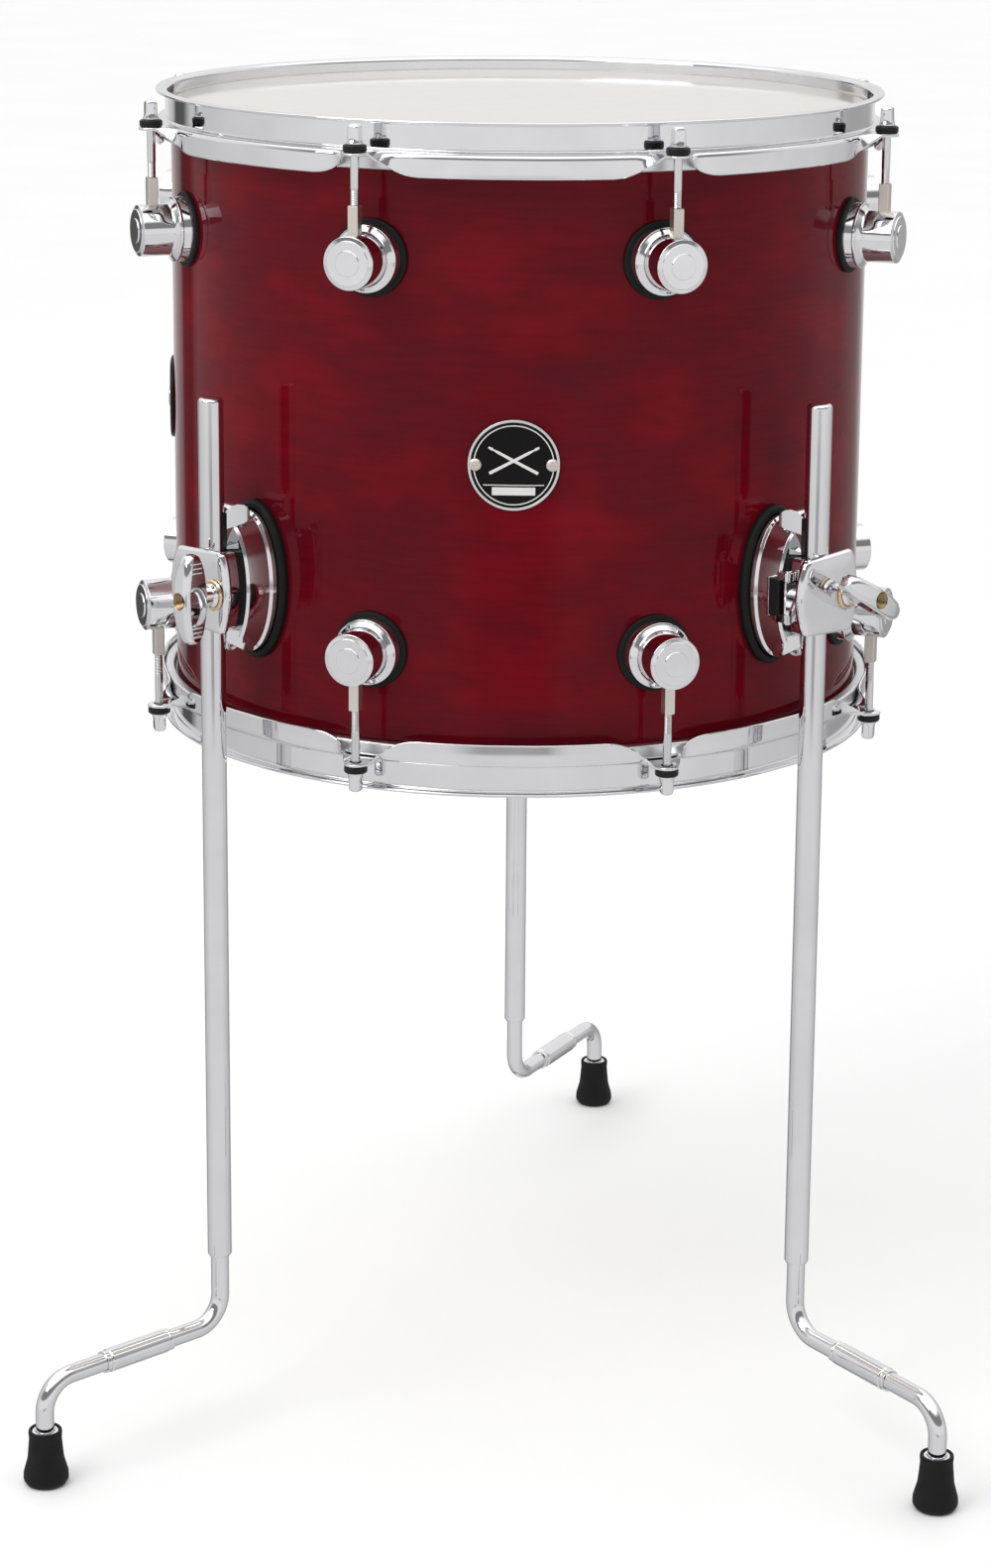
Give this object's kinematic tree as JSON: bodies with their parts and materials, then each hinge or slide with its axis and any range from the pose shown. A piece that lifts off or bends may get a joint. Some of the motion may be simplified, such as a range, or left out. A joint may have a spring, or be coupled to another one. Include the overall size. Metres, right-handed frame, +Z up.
{
  "type": "floor tom",
  "caption": "Double-headed floor tom: lacquered wooden shell, flanged metal hoops, tension rods and lugs, on height-adjustable legs with rubber feet.",
  "frame": {"origin": "on the floor under the middle of the whole object's box", "axes": "+Z up along the drum's axis; -Y towards the badge; +X to the right of someone who faces the badge"},
  "size_m": [0.5246, 0.6414, 0.762],
  "materials": {
    "lacquered_shell": "clear gloss lacquer over cherry-red stained wood with horizontal grain",
    "chrome_plate": "polished chrome plate",
    "rod_nickel": "satin nickel plate",
    "flesh_hoop_metal": "plain satin aluminium",
    "drumhead_film": "smooth off-white film with a soft gloss",
    "black_rubber": "moulded black rubber",
    "black_nylon": "moulded black nylon",
    "badge_enamel": "black enamel face with a polished metal rim"
  },
  "bodies": {
    "drum": {"badge": "badge_enamel", "batter_flesh_hoop": "flesh_hoop_metal", "batter_head": "drumhead_film", "batter_hoop": "chrome_plate", "batter_lug_1": "chrome_plate", "batter_lug_2": "chrome_plate", "batter_lug_3": "chrome_plate", "batter_lug_4": "chrome_plate", "batter_lug_5": "chrome_plate", "batter_lug_6": "chrome_plate", "batter_lug_7": "chrome_plate", "batter_lug_8": "chrome_plate", "front_left_bracket": "chrome_plate", "front_right_bracket": "chrome_plate", "rear_bracket": "chrome_plate", "resonant_flesh_hoop": "flesh_hoop_metal", "resonant_head": "drumhead_film", "resonant_hoop": "chrome_plate", "resonant_lug_1": "chrome_plate", "resonant_lug_2": "chrome_plate", "resonant_lug_3": "chrome_plate", "resonant_lug_4": "chrome_plate", "resonant_lug_5": "chrome_plate", "resonant_lug_6": "chrome_plate", "resonant_lug_7": "chrome_plate", "resonant_lug_8": "chrome_plate", "shell": "lacquered_shell", "vent_eyelet": "rod_nickel", "vent_plate": "black_nylon"},
    "batter_rod_1": {"batter_rod_1": "rod_nickel"},
    "batter_rod_2": {"batter_rod_2": "rod_nickel"},
    "batter_rod_3": {"batter_rod_3": "rod_nickel"},
    "batter_rod_4": {"batter_rod_4": "rod_nickel"},
    "batter_rod_5": {"batter_rod_5": "rod_nickel"},
    "batter_rod_6": {"batter_rod_6": "rod_nickel"},
    "batter_rod_7": {"batter_rod_7": "rod_nickel"},
    "batter_rod_8": {"batter_rod_8": "rod_nickel"},
    "resonant_rod_1": {"resonant_rod_1": "rod_nickel"},
    "resonant_rod_2": {"resonant_rod_2": "rod_nickel"},
    "resonant_rod_3": {"resonant_rod_3": "rod_nickel"},
    "resonant_rod_4": {"resonant_rod_4": "rod_nickel"},
    "resonant_rod_5": {"resonant_rod_5": "rod_nickel"},
    "resonant_rod_6": {"resonant_rod_6": "rod_nickel"},
    "resonant_rod_7": {"resonant_rod_7": "rod_nickel"},
    "resonant_rod_8": {"resonant_rod_8": "rod_nickel"},
    "front_left_leg": {"front_left_leg_tube": "chrome_plate"},
    "front_left_lower_leg": {"front_left_leg_rod": "chrome_plate", "front_left_foot": "black_rubber"},
    "front_left_clamp": {"front_left_clamp": "chrome_plate"},
    "front_left_wing_bolt": {"front_left_wing_bolt": "chrome_plate"},
    "front_right_leg": {"front_right_leg_tube": "chrome_plate"},
    "front_right_lower_leg": {"front_right_leg_rod": "chrome_plate", "front_right_foot": "black_rubber"},
    "front_right_clamp": {"front_right_clamp": "chrome_plate"},
    "front_right_wing_bolt": {"front_right_wing_bolt": "chrome_plate"},
    "rear_leg": {"rear_leg_tube": "chrome_plate"},
    "rear_lower_leg": {"rear_leg_rod": "chrome_plate", "rear_foot": "black_rubber"},
    "rear_clamp": {"rear_clamp": "chrome_plate"},
    "rear_wing_bolt": {"rear_wing_bolt": "chrome_plate"}
  },
  "joints": [
    {"name": "batter_rod_1_turn", "type": "hinge", "parent": "drum", "child": "batter_rod_1", "pos_m": [-0.07652, 0.16675, 0.72045], "axis": [0, 0, 1], "continuous": true},
    {"name": "batter_rod_2_turn", "type": "hinge", "parent": "drum", "child": "batter_rod_2", "pos_m": [-0.19748, 0.04579, 0.72045], "axis": [0, 0, 1], "continuous": true},
    {"name": "batter_rod_3_turn", "type": "hinge", "parent": "drum", "child": "batter_rod_3", "pos_m": [-0.19748, -0.12527, 0.72045], "axis": [0, 0, 1], "continuous": true},
    {"name": "batter_rod_4_turn", "type": "hinge", "parent": "drum", "child": "batter_rod_4", "pos_m": [-0.07652, -0.24623, 0.72045], "axis": [0, 0, 1], "continuous": true},
    {"name": "batter_rod_5_turn", "type": "hinge", "parent": "drum", "child": "batter_rod_5", "pos_m": [0.09453, -0.24623, 0.72045], "axis": [0, 0, 1], "continuous": true},
    {"name": "batter_rod_6_turn", "type": "hinge", "parent": "drum", "child": "batter_rod_6", "pos_m": [0.21549, -0.12527, 0.72045], "axis": [0, 0, 1], "continuous": true},
    {"name": "batter_rod_7_turn", "type": "hinge", "parent": "drum", "child": "batter_rod_7", "pos_m": [0.21549, 0.04579, 0.72045], "axis": [0, 0, 1], "continuous": true},
    {"name": "batter_rod_8_turn", "type": "hinge", "parent": "drum", "child": "batter_rod_8", "pos_m": [0.09453, 0.16675, 0.72045], "axis": [0, 0, 1], "continuous": true},
    {"name": "resonant_rod_1_turn", "type": "hinge", "parent": "drum", "child": "resonant_rod_1", "pos_m": [-0.07652, 0.16675, 0.43355], "axis": [0, 0, 1], "continuous": true},
    {"name": "resonant_rod_2_turn", "type": "hinge", "parent": "drum", "child": "resonant_rod_2", "pos_m": [-0.19748, 0.04579, 0.43355], "axis": [0, 0, 1], "continuous": true},
    {"name": "resonant_rod_3_turn", "type": "hinge", "parent": "drum", "child": "resonant_rod_3", "pos_m": [-0.19748, -0.12527, 0.43355], "axis": [0, 0, 1], "continuous": true},
    {"name": "resonant_rod_4_turn", "type": "hinge", "parent": "drum", "child": "resonant_rod_4", "pos_m": [-0.07652, -0.24623, 0.43355], "axis": [0, 0, 1], "continuous": true},
    {"name": "resonant_rod_5_turn", "type": "hinge", "parent": "drum", "child": "resonant_rod_5", "pos_m": [0.09453, -0.24623, 0.43355], "axis": [0, 0, 1], "continuous": true},
    {"name": "resonant_rod_6_turn", "type": "hinge", "parent": "drum", "child": "resonant_rod_6", "pos_m": [0.21549, -0.12527, 0.43355], "axis": [0, 0, 1], "continuous": true},
    {"name": "resonant_rod_7_turn", "type": "hinge", "parent": "drum", "child": "resonant_rod_7", "pos_m": [0.21549, 0.04579, 0.43355], "axis": [0, 0, 1], "continuous": true},
    {"name": "resonant_rod_8_turn", "type": "hinge", "parent": "drum", "child": "resonant_rod_8", "pos_m": [0.09453, 0.16675, 0.43355], "axis": [0, 0, 1], "continuous": true},
    {"name": "front_left_leg_slide", "type": "slide", "parent": "drum", "child": "front_left_leg", "axis": [0, 0, 1], "range_m": [-0.07, 0.25]},
    {"name": "front_left_leg_turn", "type": "hinge", "parent": "front_left_leg", "child": "front_left_lower_leg", "pos_m": [-0.15801, -0.20676, 0.115], "axis": [0, 0, 1], "continuous": true},
    {"name": "front_left_clamp_hinge", "type": "hinge", "parent": "drum", "child": "front_left_clamp", "pos_m": [-0.16933, -0.1912, 0.499], "axis": [0, 0, -1], "range_deg": [0, 10]},
    {"name": "front_left_wing_bolt_turn", "type": "hinge", "parent": "front_left_clamp", "child": "front_left_wing_bolt", "pos_m": [-0.14776, -0.21701, 0.499], "axis": [-0.7071, -0.7071, 0], "continuous": true},
    {"name": "front_right_leg_slide", "type": "slide", "parent": "drum", "child": "front_right_leg", "axis": [0, 0, 1], "range_m": [-0.07, 0.25]},
    {"name": "front_right_leg_turn", "type": "hinge", "parent": "front_right_leg", "child": "front_right_lower_leg", "pos_m": [0.17602, -0.20676, 0.115], "axis": [0, 0, 1], "continuous": true},
    {"name": "front_right_clamp_hinge", "type": "hinge", "parent": "drum", "child": "front_right_clamp", "pos_m": [0.16047, -0.21807, 0.499], "axis": [0, 0, -1], "range_deg": [0, 10]},
    {"name": "front_right_wing_bolt_turn", "type": "hinge", "parent": "front_right_clamp", "child": "front_right_wing_bolt", "pos_m": [0.18628, -0.19651, 0.499], "axis": [0.7071, -0.7071, 0], "continuous": true},
    {"name": "rear_leg_slide", "type": "slide", "parent": "drum", "child": "rear_leg", "axis": [0, 0, 1], "range_m": [-0.07, 0.25]},
    {"name": "rear_leg_turn", "type": "hinge", "parent": "rear_leg", "child": "rear_lower_leg", "pos_m": [0.009, 0.19646, 0.115], "axis": [0, 0, 1], "continuous": true},
    {"name": "rear_clamp_hinge", "type": "hinge", "parent": "drum", "child": "rear_clamp", "pos_m": [0.028, 0.19346, 0.499], "axis": [0, 0, -1], "range_deg": [0, 10]},
    {"name": "rear_wing_bolt_turn", "type": "hinge", "parent": "rear_clamp", "child": "rear_wing_bolt", "pos_m": [-0.0055, 0.19646, 0.499], "axis": [0, 1, 0], "continuous": true}
  ]
}
